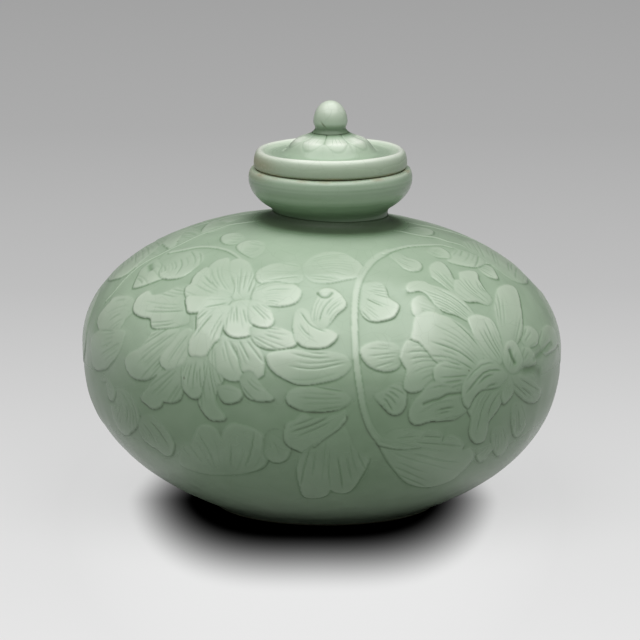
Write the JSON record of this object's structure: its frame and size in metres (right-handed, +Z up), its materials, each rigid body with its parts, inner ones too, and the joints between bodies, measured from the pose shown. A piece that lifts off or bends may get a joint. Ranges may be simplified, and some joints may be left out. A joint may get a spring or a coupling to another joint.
{
  "type": "celadon oil bottle with lid",
  "caption": "Squat, round stoneware oil bottle with a short neck, a cup-shaped mouth and a lift-off saucer lid with a bud knob.",
  "frame": {"origin": "on the table plane, below the middle of the body, at the bottom centre of the whole bottle", "axes": "+Z up, -Y the front that the picture shows, +X to the right of that front; the neck and lid stand 2.1 mm to the +X side of the origin"},
  "size_m": [0.12, 0.1198, 0.1017],
  "materials": {
    "celadon_glaze": "gloss",
    "bare_stoneware": "matte"
  },
  "bodies": {
    "bottle": {"bottle_body": "celadon_glaze", "mouth_collar": "celadon_glaze"},
    "lid": {"lid_cover": "celadon_glaze", "lid_flange": "bare_stoneware", "lid_knob": "celadon_glaze"}
  },
  "joints": [
    {"name": "lid_lift", "type": "slide", "parent": "bottle", "child": "lid", "axis": [0, 0, 1], "range_m": [0, 0.045]}
  ]
}
